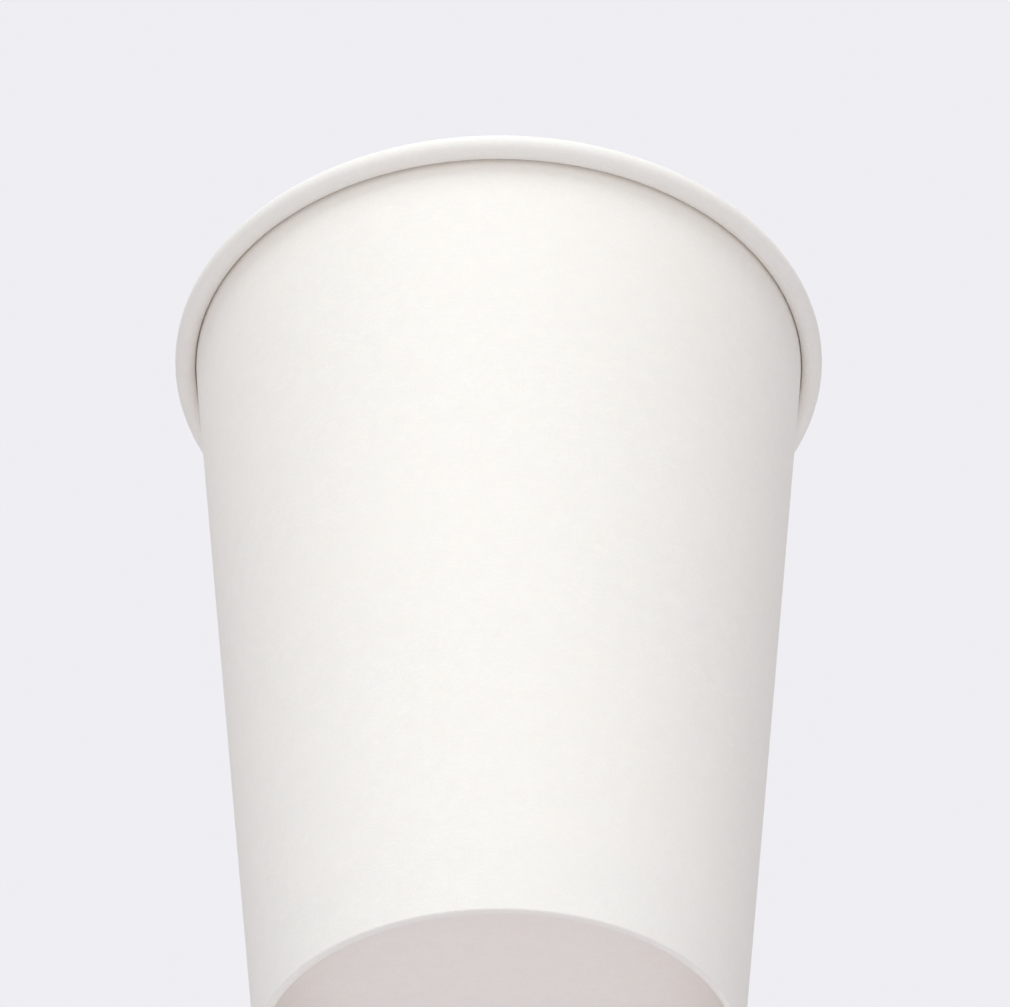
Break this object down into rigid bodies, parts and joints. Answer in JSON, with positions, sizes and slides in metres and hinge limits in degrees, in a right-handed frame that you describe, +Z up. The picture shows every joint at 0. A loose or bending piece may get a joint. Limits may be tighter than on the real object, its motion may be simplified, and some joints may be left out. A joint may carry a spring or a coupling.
{
  "type": "paper coffee cup",
  "caption": "Tapered single-wall paper cup for hot drinks, with a rolled rim, a glued side seam and a recessed bottom disc held in a folded hem.",
  "frame": {"origin": "centre of the standing ring, on the plane the cup stands on", "axes": "+Z up along the cup's axis to the rim; the glued side seam is on +Y, and -Y is the plain front"},
  "size_m": [0.09, 0.09, 0.116],
  "materials": {
    "wall_board": "matte uncoated white cup board outside, thin satin plastic film inside",
    "disc_board": "matte uncoated white cup board below, thin satin plastic film on the drink side"
  },
  "bodies": {
    "root": {"side_wall": "wall_board", "bottom_disc": "disc_board"}
  },
  "joints": []
}
